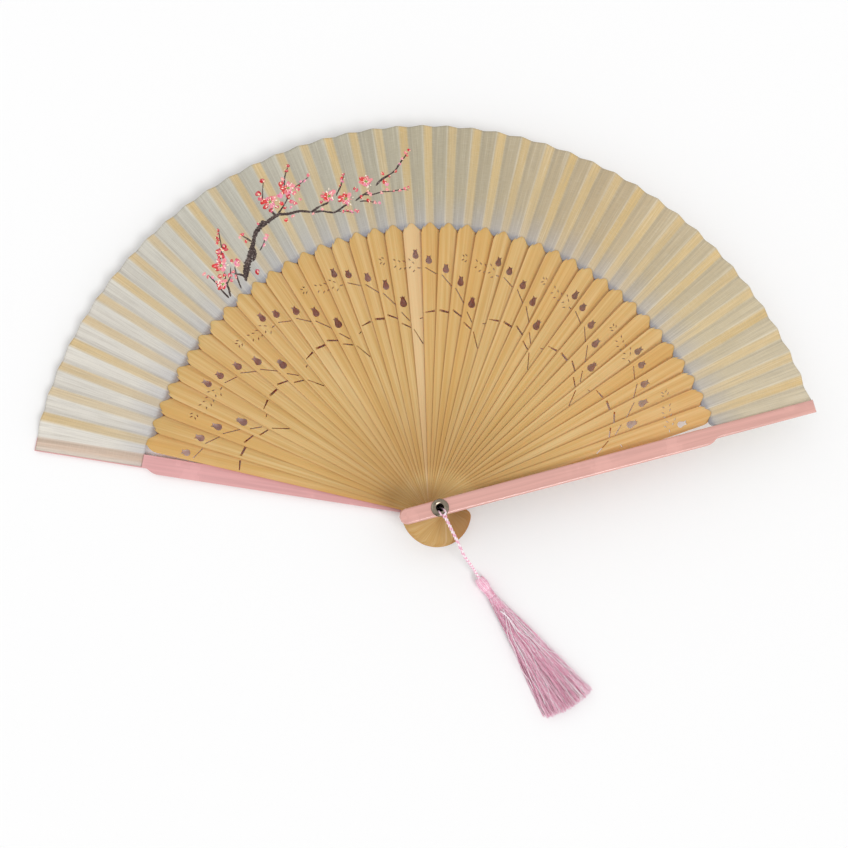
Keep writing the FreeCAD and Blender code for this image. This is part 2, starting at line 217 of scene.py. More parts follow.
# ---- Materials ----
class Nodes:
    """A material's node tree, with short calls for the nodes that the fan's finishes share."""

    def __init__(self, name):
        self.material = bpy.data.materials.new(name)
        self.material.use_nodes = True
        self.tree = self.material.node_tree
        self.shader = self.tree.nodes["Principled BSDF"]

    def node(self, kind, **settings):
        made = self.tree.nodes.new(kind)
        for key, value in settings.items():
            setattr(made, key, value)
        return made

    def link(self, value, socket):
        if isinstance(value, bpy.types.NodeSocket):
            self.tree.links.new(value, socket)
        else:
            socket.default_value = value

    def math(self, operation, *values):
        made = self.node("ShaderNodeMath", operation=operation)
        for value, socket in zip(values, made.inputs):
            self.link(value, socket)
        return made.outputs[0]

    def mix(self, share, a, b):
        made = self.node("ShaderNodeMix", data_type="RGBA", clamp_factor=True)
        self.link(share, made.inputs[0])
        self.link(a, made.inputs[6])
        self.link(b, made.inputs[7])
        return made.outputs[2]

    def ramp(self, value, low, high, out_low=0.0, out_high=1.0):
        made = self.node("ShaderNodeMapRange", interpolation_type="SMOOTHSTEP")
        for v, socket in zip((value, low, high, out_low, out_high), made.inputs):
            self.link(v, socket)
        return made.outputs[0]

    def noise(self, vector, scale, detail=3.0, rough=0.55):
        made = self.node("ShaderNodeTexNoise")
        self.link(vector, made.inputs["Vector"])
        made.inputs["Scale"].default_value = scale
        made.inputs["Detail"].default_value = detail
        made.inputs["Roughness"].default_value = rough
        return made.outputs[0]

    def combine(self, x, y, z=0.0):
        made = self.node("ShaderNodeCombineXYZ")
        for v, socket in zip((x, y, z), made.inputs):
            self.link(v, socket)
        return made.outputs[0]

    def stretched(self, x, times_x, y, times_y, z=0.0):
        """A place for a noise that is finer one way than the other."""
        return self.combine(self.math("MULTIPLY", x, times_x), self.math("MULTIPLY", y, times_y), z)

    def painted(self):
        return self.node("ShaderNodeAttribute", attribute_name="paint").outputs["Color"]

    def split(self, vector):
        made = self.node("ShaderNodeSeparateXYZ")
        self.link(vector, made.inputs[0])
        return made.outputs

    def place(self):
        return self.node("ShaderNodeTexCoord").outputs["Object"]

    def bump(self, height, strength, distance):
        made = self.node("ShaderNodeBump")
        made.inputs["Strength"].default_value = strength
        made.inputs["Distance"].default_value = distance
        self.link(height, made.inputs["Height"])
        self.link(made.outputs[0], self.shader.inputs["Normal"])

    def see_through(self, colour, share):
        """Lets a share of the light pass on to the other side."""
        through = self.node("ShaderNodeBsdfTranslucent")
        self.link(colour, through.inputs["Color"])
        both = self.node("ShaderNodeMixShader")
        both.inputs[0].default_value = share
        out = self.tree.nodes["Material Output"]
        self.tree.links.new(self.shader.outputs[0], both.inputs[1])
        self.tree.links.new(through.outputs[0], both.inputs[2])
        self.tree.links.new(both.outputs[0], out.inputs["Surface"])

    def set(self, **values):
        for key, value in values.items():
            self.link(value, self.shader.inputs[key.replace("_", " ")])


def bamboo():
    """Split bamboo with a fine straight grain. Each rib's number tells the direction of its grain."""
    n = Nodes("bamboo")
    number = n.node("ShaderNodeObjectInfo").outputs["Object Index"]
    angle = n.math("MULTIPLY_ADD", number, math.radians(STEP), -math.radians(REAR_ANGLE - GUARD_EXTRA))
    turn = n.node("ShaderNodeVectorRotate", rotation_type="Z_AXIS")
    n.link(n.place(), turn.inputs["Vector"])
    n.link(angle, turn.inputs["Angle"])
    x, y, z = n.split(turn.outputs[0])
    own = n.math("MULTIPLY", number, 0.731)
    fibre = n.noise(n.stretched(x, 22.0, y, 2600.0, own), 1.0, 4.0, 0.6)
    streak = n.noise(n.stretched(x, 9.0, y, 620.0, own), 1.0, 2.0, 0.5)
    patch = n.noise(n.stretched(x, 30.0, y, 110.0, own), 1.0, 2.0)
    tint = n.node("ShaderNodeTexWhiteNoise", noise_dimensions="1D")
    n.link(own, tint.inputs["W"])
    tone = tint.outputs["Value"]
    base = n.mix(n.ramp(streak, 0.3, 0.7), linear(224, 193, 119), linear(239, 216, 151))
    base = n.mix(n.math("MULTIPLY", n.ramp(tone, 0.0, 1.0), 0.55), base, linear(231, 192, 110))
    base = n.mix(n.ramp(fibre, 0.42, 0.72, 0.0, 0.42), base, linear(200, 156, 84))
    base = n.mix(n.ramp(patch, 0.55, 0.8, 0.0, 0.3), base, linear(244, 226, 168))
    pale = n.math("COMPARE", number, float(PALE_RIB), 0.5)
    base = n.mix(n.math("MULTIPLY", pale, 0.55), base, linear(248, 228, 178))
    # The sawn walls of the cut pattern are scorched, and the ribs are darker from about 14 mm out from the
    # eyelet, most at about 20 mm and fading out by 75 mm.
    wall = n.node("ShaderNodeNewGeometry").outputs["Normal"]
    upright = n.math("ABSOLUTE", n.split(wall)[2])
    base = n.mix(n.ramp(upright, 0.35, 0.75, 0.85, 0.0), base, linear(150, 96, 60))
    reach = n.math("ABSOLUTE", x)
    darker_near_eyelet = n.math("MULTIPLY", n.ramp(reach, 0.020, 0.075, 0.42, 0.0), n.ramp(reach, 0.014, 0.022))
    base = n.mix(darker_near_eyelet, base, linear(186, 138, 70))
    # Painted shade: the tails of ribs 1 to 16, which lie deep under the stack and the front guard, are
    # darker.
    painted_tail_shade = n.math("MULTIPLY", n.math("LESS_THAN", number, 17.0), n.ramp(x, -0.009, -0.003, 0.45, 0.0))
    base = n.mix(painted_tail_shade, base, linear(168, 98, 50))
    n.link(base, n.shader.inputs["Base Color"])
    n.link(n.ramp(fibre, 0.3, 0.8, 0.42, 0.6), n.shader.inputs["Roughness"])
    n.set(Specular_IOR_Level=0.35)
    n.bump(n.math("ADD", fibre, n.math("MULTIPLY", streak, 0.6)), 0.35, 0.00012)
    n.see_through(linear(255, 138, 78), 0.3)
    return n.material


def lacquer(name, colour, degrees):
    """Gloss lacquer over a bamboo guard: even, with faint brush streaks along it and a few dull rubs."""
    n = Nodes(name)
    turn = n.node("ShaderNodeVectorRotate", rotation_type="Z_AXIS")
    n.link(n.place(), turn.inputs["Vector"])
    turn.inputs["Angle"].default_value = -math.radians(degrees)
    x, y, z = n.split(turn.outputs[0])
    streak = n.noise(n.stretched(x, 14.0, y, 700.0, z), 1.0, 3.0)
    cloud = n.noise(n.place(), 60.0, 3.0)
    paler = tuple(min(1.0, c * 1.12 + 0.02) for c in colour[:3]) + (1.0,)
    deeper = tuple(c * 0.86 for c in colour[:3]) + (1.0,)
    base = n.mix(n.ramp(streak, 0.3, 0.7), deeper, colour)
    base = n.mix(n.ramp(cloud, 0.5, 0.75, 0.0, 0.5), base, paler)
    n.link(base, n.shader.inputs["Base Color"])
    n.link(n.ramp(cloud, 0.35, 0.7, 0.16, 0.3), n.shader.inputs["Roughness"])
    n.set(Specular_IOR_Level=0.5, Coat_Weight=0.8, Coat_Roughness=0.08)
    n.bump(streak, 0.12, 0.0001)
    return n.material


def metal(name, colour, rough):
    """Metal worn unevenly, with duller spots."""
    n = Nodes(name)
    worn = n.noise(n.place(), 900.0, 4.0)
    spots = n.noise(n.place(), 260.0, 2.0)
    dull = tuple(c * 0.45 for c in colour[:3]) + (1.0,)
    n.link(n.mix(n.ramp(spots, 0.45, 0.7), colour, dull), n.shader.inputs["Base Color"])
    n.link(n.ramp(worn, 0.3, 0.7, rough * 0.7, rough * 1.6), n.shader.inputs["Roughness"])
    n.set(Metallic=1.0)
    n.bump(worn, 0.2, 0.00005)
    return n.material


def silk():
    """Thin silk: painted tones carried by the mesh, and a fine weave whose threads follow the leaf."""
    n = Nodes("silk")
    uv = n.node("ShaderNodeUVMap", uv_map="cloth").outputs[0]
    u, v, _ = n.split(uv)
    warp = n.noise(n.stretched(u, 14.0, v, 0.05), 1.0, 3.0, 0.6)
    weft = n.noise(n.stretched(u, 0.25, v, 2.6), 1.0, 2.0, 0.6)
    slub = n.noise(n.stretched(u, 0.9, v, 0.07), 1.0, 3.0)
    painted = n.painted()
    thread = n.noise(n.stretched(u, 1.7, v, 0.03), 1.0, 4.0, 0.7)
    stick = n.math("FRACT", n.math("MULTIPLY_ADD", u, 1 / WEAVE_PER_STEP, 0.5))
    # Each crease right of a rib is a valley with a soft painted shade, and each one left of it a ridge with a
    # painted highlight.
    valley = n.math("ABSOLUTE", n.math("SUBTRACT", stick, 0.75))
    ridge = n.math("ABSOLUTE", n.math("SUBTRACT", stick, 0.25))
    base = n.mix(n.ramp(warp, 0.35, 0.75, 0.0, 0.16), painted, linear(150, 138, 112))
    base = n.mix(n.ramp(thread, 0.42, 0.72, 0.0, 0.3), base, linear(158, 146, 124))
    base = n.mix(n.ramp(thread, 0.46, 0.28, 0.0, 0.4), base, linear(248, 242, 226))
    base = n.mix(n.ramp(valley, 0.0, 0.12, 0.22, 0.0), base, linear(140, 128, 112))
    base = n.mix(n.ramp(ridge, 0.0, 0.05, 0.2, 0.0), base, linear(252, 248, 236))
    base = n.mix(n.ramp(weft, 0.4, 0.75, 0.0, 0.12), base, linear(255, 252, 240))
    base = n.mix(n.ramp(slub, 0.5, 0.8, 0.0, 0.22), base, linear(176, 170, 160))
    n.link(base, n.shader.inputs["Base Color"])
    n.set(Roughness=0.62, Specular_IOR_Level=0.3, Sheen_Weight=0.25, Sheen_Roughness=0.4)
    n.bump(n.math("ADD", warp, weft), 0.25, 0.00008)
    n.see_through(base, 0.22)
    return n.material


def daubed():
    """Thick opaque brush paint in the colours of the mesh."""
    n = Nodes("brush_paint")
    painted = n.painted()
    grain = n.noise(n.place(), 1400.0, 3.0)
    base = n.mix(n.ramp(grain, 0.45, 0.8, 0.0, 0.25), painted, linear(250, 226, 214))
    n.link(base, n.shader.inputs["Base Color"])
    n.set(Roughness=0.5, Specular_IOR_Level=0.3)
    n.bump(grain, 0.3, 0.00005)
    return n.material


def satin(name):
    """Rayon thread: pink in several tones along each thread, with a soft shine and painted glints of near
    white.
    """
    n = Nodes(name)
    painted = n.painted()
    fine = n.noise(n.place(), 2200.0, 2.0)
    speck = n.noise(n.place(), 1500.0, 1.0)
    # Painted glints: fine near-white flecks in the colour; the same noise also gives the threads their bump.
    base = n.mix(n.ramp(fine, 0.5, 0.66, 0.0, 0.75), painted, linear(255, 240, 247))
    base = n.mix(n.ramp(speck, 0.5, 0.38, 0.0, 0.3), base, linear(224, 128, 164))
    n.link(base, n.shader.inputs["Base Color"])
    n.set(Roughness=0.28, Specular_IOR_Level=0.8, Sheen_Weight=0.3, Sheen_Roughness=0.3)
    n.bump(fine, 0.25, 0.00005)
    return n.material


def floor_paper():
    """The plain pale floor."""
    n = Nodes("pale_floor")
    n.set(Base_Color=(0.93, 0.93, 0.93, 1.0), Roughness=0.9, Specular_IOR_Level=0.1)
    return n.material


# ---- Ribs, guards and washer: the CAD's own shapes with their finishes ----
def dress_sticks():
    """Gives the ribs and guards their finishes; a rib's material reads its number from its pass index."""
    wood = bamboo()
    for k in range(1, RIB_COUNT + 1):
        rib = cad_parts["rib_%02d" % k]
        rib.pass_index = k
        finish_with(rib, wood)
    guards = [
        ("front_guard", linear(222, 166, 155), FRONT_ANGLE),
        ("rear_guard", linear(224, 164, 163), REAR_ANGLE),
    ]
    for name, colour, degrees in guards:
        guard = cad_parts[name]
        finish_with(guard, lacquer(name + "_lacquer", colour, degrees))


def eyelet():
    """A rolled flange, a barrel through the stack and a lip clenched over the washer."""
    top = FRONT_TOP + FLANGE_GAP
    roll = []
    middle = (FLANGE_R + BORE_R + 0.05) / 2
    half = (FLANGE_R - BORE_R - 0.05) / 2
    for i in range(13):
        a = math.radians(180 - 180 * i / 12)
        roll.append((middle + half * math.cos(a), top + ROLL_LOW + ROLL_HIGH * math.sin(a)))
    lip = POCKET_DEPTH - LIP_DEPTH
    profile = [(BORE_R, lip + 0.05), (BORE_R, lip + 1.5), (BORE_R, 12.0), (BORE_R, top - 0.4)] + roll
    profile += [
        (FLANGE_R, top + 0.05), (FLANGE_R - 0.1, top), (BARREL_R, top), (BARREL_R, 12.0),
        (BARREL_R, lip + 0.45), (2.55, lip + 0.45), (2.65, lip + 0.3), (2.55, lip + 0.05), (2.1, lip),
    ]
    verts, faces = lathe(profile)
    piece = mesh_object("eyelet_ring", verts, faces)
    finish_with(piece, metal("eyelet_metal", linear(150, 138, 122), 0.22))
    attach(piece, "rear_guard_body")
    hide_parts("eyelet")
    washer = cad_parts["back_washer"]
    finish_with(washer, metal("washer_metal", linear(170, 158, 142), 0.35))


# ---- Leaf ----
def stick_point(angle, x, y, z):
    """A point x along a stick and y to its left, when the stick lies at that angle."""
    a = math.radians(angle)
    return (x * math.cos(a) - y * math.sin(a), x * math.sin(a) + y * math.cos(a), z)


def rib_angle(k):
    return REAR_ANGLE - GUARD_EXTRA - k * STEP


def fold_lines():
    """The leaf's folds from left to right: inner and outer end, stick number and share of the fold."""
    lines = []
    radii = (LEAF_INNER, LEAF_OUTER)
    for y in (STRIP_OUTER - STRIP_MARGIN, -GUARD_HALF - 0.05):
        pair = [stick_point(REAR_ANGLE, x, y, STRIP_THICK + GLUE) for x in radii]
        lines.append((pair, -y / GUARD_SPAN, 0.0))
    for k in range(1, RIB_COUNT + 1):
        z = FIRST_RIB_Z + (k - 1) * RIB_PITCH + RIB_THICK / 2 + GLUE
        share = (GUARD_EXTRA + k * STEP) / OPEN_ANGLE
        for side in (CREASE, -CREASE):
            a = math.radians(side)
            pair = [
                stick_point(rib_angle(k), r * math.cos(a), r * math.sin(a), z + r * math.sin(a) * LEAN_SLIP)
                for r in radii
            ]
            lines.append((pair, k - side / STEP, share))
    under = FRONT_TOP - STRIP_THICK - GLUE - LEAF_THICK
    for y in (GUARD_HALF - 0.2, -STRIP_OUTER + STRIP_MARGIN):
        pair = [stick_point(FRONT_ANGLE, x, y, under) for x in radii]
        lines.append((pair, RIB_COUNT + 1 - y / GUARD_SPAN, 1.0))
    return lines


FOLDS = fold_lines()
FOLD_ENDS = np.array([f[0] for f in FOLDS])
FOLD_STICK = np.array([f[1] for f in FOLDS])
FOLD_ROUND = 0.045


def on_leaf(stick, radius):
    """Where a point of the leaf's front lies, from its stick number and its radius."""
    total = 0.0
    t = (np.asarray(radius, float) - LEAF_INNER) / (LEAF_OUTER - LEAF_INNER)
    index = np.arange(len(FOLDS))
    for off in (-FOLD_ROUND, 0.0, FOLD_ROUND):
        near = np.clip(np.asarray(stick, float) + off, FOLD_STICK[0], FOLD_STICK[-1])
        s = np.interp(near, FOLD_STICK, index)
        low = np.clip(s.astype(int), 0, len(FOLDS) - 2)
        f = (s - low)[..., None]
        ends = FOLD_ENDS[low] * (1 - f)[..., None] + FOLD_ENDS[low + 1] * f[..., None]
        total = total + ends[..., 0, :] * (1 - t)[..., None] + ends[..., 1, :] * t[..., None]
    return total / 3 + np.array([0.0, 0.0, LEAF_THICK])


# The silk's ground colour at shares of the way from the left end of the leaf to the right.
GROUND_AT = (0.0, 0.12, 0.3, 0.5, 0.7, 0.88, 1.0)
GROUND = (
    (236, 232, 224), (230, 226, 218), (204, 202, 190), (192, 184, 160), (210, 190, 154), (220, 206, 174),
    (228, 216, 190),
)
PANEL_COLUMNS = 8
LEAF_ROWS = 50
DIP = 3.4
DIP_REACH = 8.0


def silk_ground(stick, out):
    """The ground drifts from left to right and is cooler near the ribs."""
    ground = np.array([tone(*colour) for colour in GROUND])
    along = stick / (RIB_COUNT + 1)
    silk_tone = np.stack([np.interp(along, GROUND_AT, ground[:, i]) for i in range(3)], -1)
    near = np.clip(1 - out / 0.3, 0, 1)[..., None] * 0.55
    silk_tone = mixed(silk_tone, tone(196, 196, 204), near)
    # Each panel between two slips has its own slight tone.
    panel = np.floor(stick)
    shift = np.sin(panel * 2.3 + 1.0) * 0.5 + np.sin(panel * 5.1) * 0.5
    return silk_tone * (1.05 + 0.04 * shift)[..., None]


def with_slips(silk_tone, stick, radius, out):
    """Each rib's slip shows through as a warm band."""
    k = np.round(stick)
    across = (stick - k) * math.radians(STEP) * radius
    own = np.sin(k * 3.7) * 0.5 + 0.5
    band = mixed(tone(232, 200, 134), tone(238, 208, 146), own[..., None])
    strength = np.clip((SLIP_HALF + 0.35 - np.abs(across + 0.25)) / 0.8, 0, 1)
    strength = strength * np.where((k >= 1) & (k <= RIB_COUNT), 1.0, 0.0)
    strength = strength * (0.6 + 0.3 * out) * (0.85 + 0.15 * np.sin(k * 1.9 + 0.4))
    return mixed(silk_tone, band, strength[..., None])


def with_inner_shade(silk_tone, stick, radius):
    """Between the ribs' shoulders the silk gets painted shade, brown at the left and blue-grey elsewhere."""
    shade = np.clip((LEAF_INNER - radius) / 1.4, 0, 1)[..., None] * 0.75
    right = np.clip((stick - 7.0) / 4.0, 0, 1)[..., None]
    dusk = mixed(tone(134, 108, 98), tone(150, 152, 168), right)
    return mixed(silk_tone, dusk, shade)


def with_rear_guard(silk_tone, stick):
    """The rear guard's lacquer shows through the silk glued over its strip."""
    inner = np.clip((stick + 0.05) / 0.12, 0, 1) * np.clip((0.34 - stick) / 0.05, 0, 1)
    glued = np.clip((0.34 - stick) / 0.03, 0, 1)
    share = (0.35 * glued + 0.4 * inner)[..., None]
    return mixed(silk_tone, tone(232, 198, 172), share)


def leaf_colours(stick, radius):
    """The silk's colour at each point of the leaf."""
    out = (radius - LEAF_INNER) / (LEAF_OUTER - LEAF_INNER)
    silk_tone = silk_ground(stick, out)
    silk_tone = with_slips(silk_tone, stick, radius, out)
    silk_tone = with_inner_shade(silk_tone, stick, radius)
    silk_tone = with_rear_guard(silk_tone, stick)
    return np.concatenate([np.clip(silk_tone, 0, 1), np.ones(silk_tone.shape[:-1] + (1,))], -1)


def leaf_grid():
    """Stick numbers and radii of the leaf's columns and rows of points."""
    sticks = []
    for a, b in zip(FOLD_STICK, FOLD_STICK[1:]):
        sticks += list(np.linspace(a, b, PANEL_COLUMNS, endpoint=False))
    sticks = np.array(sticks + [FOLD_STICK[-1]])
    radii = np.linspace(LEAF_INNER, LEAF_OUTER, LEAF_ROWS)
    s, r = np.meshgrid(sticks, radii, indexing="ij")
    # Between the ribs' round shoulders the inner edge hangs a little towards the eyelet.
    between = np.sin(math.pi * s) ** 2 * ((s > 1) & (s < RIB_COUNT + 0.7))
    r = r - DIP * between * np.clip((LEAF_INNER + DIP_REACH - r) / DIP_REACH, 0, 1)
    return s, r


def leaf_front(s, r):
    """Points of the leaf's front; glue and damp leave its panels slightly uneven between the folds."""
    front = on_leaf(s, r)
    quiet = np.clip((r - LEAF_INNER) / 12.0, 0, 1)
    quiet = quiet * np.clip((s - 0.8) / 0.5, 0, 1) * np.clip((40.4 - s) / 0.4, 0, 1)
    swell = 0.10 * np.sin(r / 5.1 + 2.1 * np.sin(s * 1.3)) * np.sin(s * math.pi * 2) ** 2
    front[..., 2] += np.maximum(swell, 0) * quiet
    return front


def leaf_faces(cols, rows):
    """Faces of the leaf's front, its back and the four narrow edges between them."""
    half = cols * rows

    def at(i, j):
        return i * rows + j

    def edge(a, b):
        return (a, b, half + b, half + a)

    faces = []
    for i in range(cols - 1):
        for j in range(rows - 1):
            quad = (at(i, j), at(i, j + 1), at(i + 1, j + 1), at(i + 1, j))
            faces.append(quad[::-1])
            faces.append(tuple(half + q for q in quad))
    for i in range(cols - 1):
        faces.append(edge(at(i, 0), at(i + 1, 0))[::-1])
        faces.append(edge(at(i, rows - 1), at(i + 1, rows - 1)))
    for j in range(rows - 1):
        faces.append(edge(at(0, j), at(0, j + 1))[::-1])
        faces.append(edge(at(cols - 1, j), at(cols - 1, j + 1)))
    return faces


def silk_leaf():
    """The pleated leaf, with a map for its weave: stick number one way and radius the other."""
    s, r = leaf_grid()
    front = leaf_front(s, r)
    back = front - np.array([0, 0, LEAF_THICK])
    verts = np.concatenate([front.reshape(-1, 3), back.reshape(-1, 3)])
    leaf = mesh_object("leaf", verts, leaf_faces(*s.shape))
    both = np.concatenate([s.ravel(), s.ravel()])
    reach = np.concatenate([r.ravel(), r.ravel()])
    paint(leaf, leaf_colours(both, reach))
    cloth = leaf.data.uv_layers.new(name="cloth")
    corners = np.zeros(len(leaf.data.loops), int)
    leaf.data.loops.foreach_get("vertex_index", corners)
    places = np.stack([both[corners] * WEAVE_PER_STEP, reach[corners]], -1)
    cloth.data.foreach_set("uv", places.astype(np.float32).ravel())
    finish_with(leaf, silk())
    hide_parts("silk_leaf")
    fold_with_fan(leaf)
    return leaf


def fold_with_fan(piece):
    """Bakes the piece's placement into its mesh."""
    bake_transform(piece)


# ---- The painted spray of blossom ----
PAINT_HIGH = 0.09
TWIG = linear(58, 44, 42)
TWIG_PALE = linear(104, 86, 78)
REDS = [linear(206, 38, 40), linear(226, 62, 60), linear(190, 30, 42)]
PINKS = [linear(236, 128, 138), linear(244, 160, 164), linear(222, 96, 116), linear(236, 148, 180)]
CREAMS = [linear(252, 226, 190), linear(255, 240, 220)]
GREENS = [linear(96, 150, 66), linear(150, 184, 84)]


class Brush:
    """Collects the painting's strokes and dabs, in stick numbers and radii, as points on the silk."""

    def __init__(self):
        self.parts, self.colours, self.sticks = [], [], []

    def add(self, stick, radius, high, faces, colour):
        p = on_leaf(np.asarray(stick, float), np.asarray(radius, float))
        p[:, 2] += high
        self.parts.append((p, faces))
        self.sticks.append(np.asarray(stick, float))
        c = np.asarray(colour, float)
        self.colours.append(np.broadcast_to(c, (len(p), 4)) if c.ndim == 1 else c)

    def dab(self, stick, radius, size, colour, lean=0.0, long=1.0, tip=None, high=PAINT_HIGH):
        """A rounded dab of paint, its middle a little higher, long times as long as it is wide."""
        rings, around = 3, 12
        us, rs, hs, cs, faces = [stick], [radius], [high + 0.05], [colour], []
        per_mm = 1 / (math.radians(STEP) * radius)
        wobble = rng.uniform(0.86, 1.14, around)
        edge = tip or colour
        for ring in range(1, rings + 1):
            for i in range(around):
                a = 2 * math.pi * i / around
                grow = size * ring / rings * wobble[i]
                dx, dy = grow * long * math.cos(a), grow * math.sin(a)
                x = dx * math.cos(lean) - dy * math.sin(lean)
                y = dx * math.sin(lean) + dy * math.cos(lean)
                us.append(stick + x * per_mm)
                rs.append(radius + y)
                hs.append(high + 0.05 * (1 - (ring / rings) ** 2) - (0.05 if ring == rings else 0.0))
                cs.append(tuple(colour[c] * (1 - ring / rings) + edge[c] * ring / rings for c in range(4)))
        for i in range(around):
            faces.append((0, 1 + i, 1 + (i + 1) % around)[::-1])
        for ring in range(rings - 1):
            for i in range(around):
                j = (i + 1) % around
                a, b = 1 + ring * around, 1 + (ring + 1) * around
                faces.append((a + i, b + i, b + j, a + j)[::-1])
        self.add(us, rs, np.array(hs), faces, cs)

    def stroke(self, points, rough):
        """A twig's stroke through points of (stick, radius, width); rough tells how uneven its edges are."""
        p = np.array(points, float)
        scale = math.radians(STEP) * p[:, 1].mean()
        flat = np.stack([p[:, 0] * scale, p[:, 1]], -1)
        run = np.concatenate([[0], np.cumsum(np.linalg.norm(np.diff(flat, axis=0), axis=1))])
        count = max(4, int(run[-1] / 0.45))
        t = np.linspace(0, run[-1], count)
        line = np.stack([np.interp(t, run, flat[:, 0]), np.interp(t, run, flat[:, 1])], -1)
        for _ in range(3):
            line[1:-1] = (line[:-2] + 2 * line[1:-1] + line[2:]) / 4
        width = np.interp(t, run, p[:, 2])
        along = np.gradient(line, axis=0)
        along /= np.linalg.norm(along, axis=1)[:, None]
        side = np.stack([-along[:, 1], along[:, 0]], -1)
        lanes = [-1.0, -0.4, 0.4, 1.0]
        us, rs, hs, cs = [], [], [], []
        ragged = rng.normal(0, rough, (count, 2))
        for i in range(count):
            taper = min(1.0, 0.25 + i / 2.0, 0.25 + (count - 1 - i) / 2.0)
            for lane in lanes:
                w = width[i] / 2 * taper * lane * (1 + ragged[i, 0 if lane < 0 else 1])
                q = line[i] + side[i] * w
                us.append(q[0] / scale)
                rs.append(q[1])
                hs.append(PAINT_HIGH + (0.04 if abs(lane) < 1 else -0.05))
                pale = 0.5 * (lane == 0.4) * (rng.random() < 0.4)
                cs.append(tuple(mixed(TWIG[c], TWIG_PALE[c], pale) for c in range(4)))
        n = len(lanes)
        faces = []
        for i in range(count - 1):
            for k in range(n - 1):
                faces.append((i * n + k, (i + 1) * n + k, (i + 1) * n + k + 1, i * n + k + 1))
        self.add(us, rs, np.array(hs), faces, cs)

    def near(self, stick, radius, x, y, *settings, **more):
        """A dab x mm right of and y mm beyond a point."""
        self.dab(stick + x / (math.radians(STEP) * radius), radius + y, *settings, **more)

    def blossom(self, stick, radius, size, red_side):
        """Loose overlapping petals, redder towards one side, round a green eye with pale stamens."""
        for i in range(13):
            a = math.radians(137.5 * i + rng.uniform(-20, 20))
            reach = size * (0.25 + 0.5 * (i % 5) / 4) * rng.uniform(0.85, 1.15)
            redness = 0.5 + 0.5 * math.cos(a - math.radians(red_side)) + rng.uniform(-0.3, 0.3)
            inner = REDS[i % 3] if redness > 0.5 else PINKS[i % 4]
            tip = PINKS[(i + 1) % 4] if redness < 0.8 else REDS[(i + 1) % 3]
            x, y = reach * math.cos(a), reach * math.sin(a)
            petal = size * rng.uniform(0.2, 0.3)
            long = rng.uniform(1.1, 1.7)
            self.near(stick, radius, x, y, petal, inner, a, long, tip, high=PAINT_HIGH + 0.012 * i)
        for i in range(11):
            a = rng.uniform(0, 2 * math.pi)
            reach = size * rng.uniform(0.45, 0.95)
            x, y = reach * math.cos(a), reach * math.sin(a)
            colour = CREAMS[1] if i % 3 else PINKS[1]
            fleck = rng.uniform(0.2, 0.36)
            long = rng.uniform(1.3, 2.4)
            self.near(stick, radius, x, y, fleck, colour, a, long, high=PAINT_HIGH + 0.16)
        for i in range(8):
            a = math.radians(45 * i + rng.uniform(-14, 14))
            reach = size * rng.uniform(0.24, 0.4)
            x, y = reach * math.cos(a), reach * math.sin(a)
            self.near(stick, radius, x, y, 0.19, CREAMS[i % 2], a, 2.6, high=PAINT_HIGH + 0.2)
        for i in range(4):
            a = math.radians(90 * i + rng.uniform(10, 50))
            x, y = 0.4 * math.cos(a), 0.4 * math.sin(a)
            self.near(stick, radius, x, y, 0.34, GREENS[i % 2], a, 1.5, high=PAINT_HIGH + 0.22)

    def buds(self, points, size, red):
        """Small buds, each of three uneven touches of the brush; red is the share of red ones."""
        for stick, radius in points:
            colour = REDS[int(rng.integers(3))] if rng.random() < red else PINKS[int(rng.integers(4))]
            other = PINKS[int(rng.integers(4))]
            lean = rng.uniform(0, math.pi)
            grow = size * rng.uniform(0.6, 1.05)
            self.dab(stick, radius, grow * 0.75, colour, lean, rng.uniform(1.1, 1.6), colour)
            x, y = rng.uniform(-0.7, 0.7, 2) * grow
            self.near(stick, radius, x, y, grow * 0.6, other, lean + 1.0, 1.4, colour, high=PAINT_HIGH + 0.03)
            x, y = rng.uniform(-0.9, 0.9, 2) * grow
            self.near(stick, radius, x, y, grow * 0.26, CREAMS[0], lean, 1.8, high=PAINT_HIGH + 0.09)


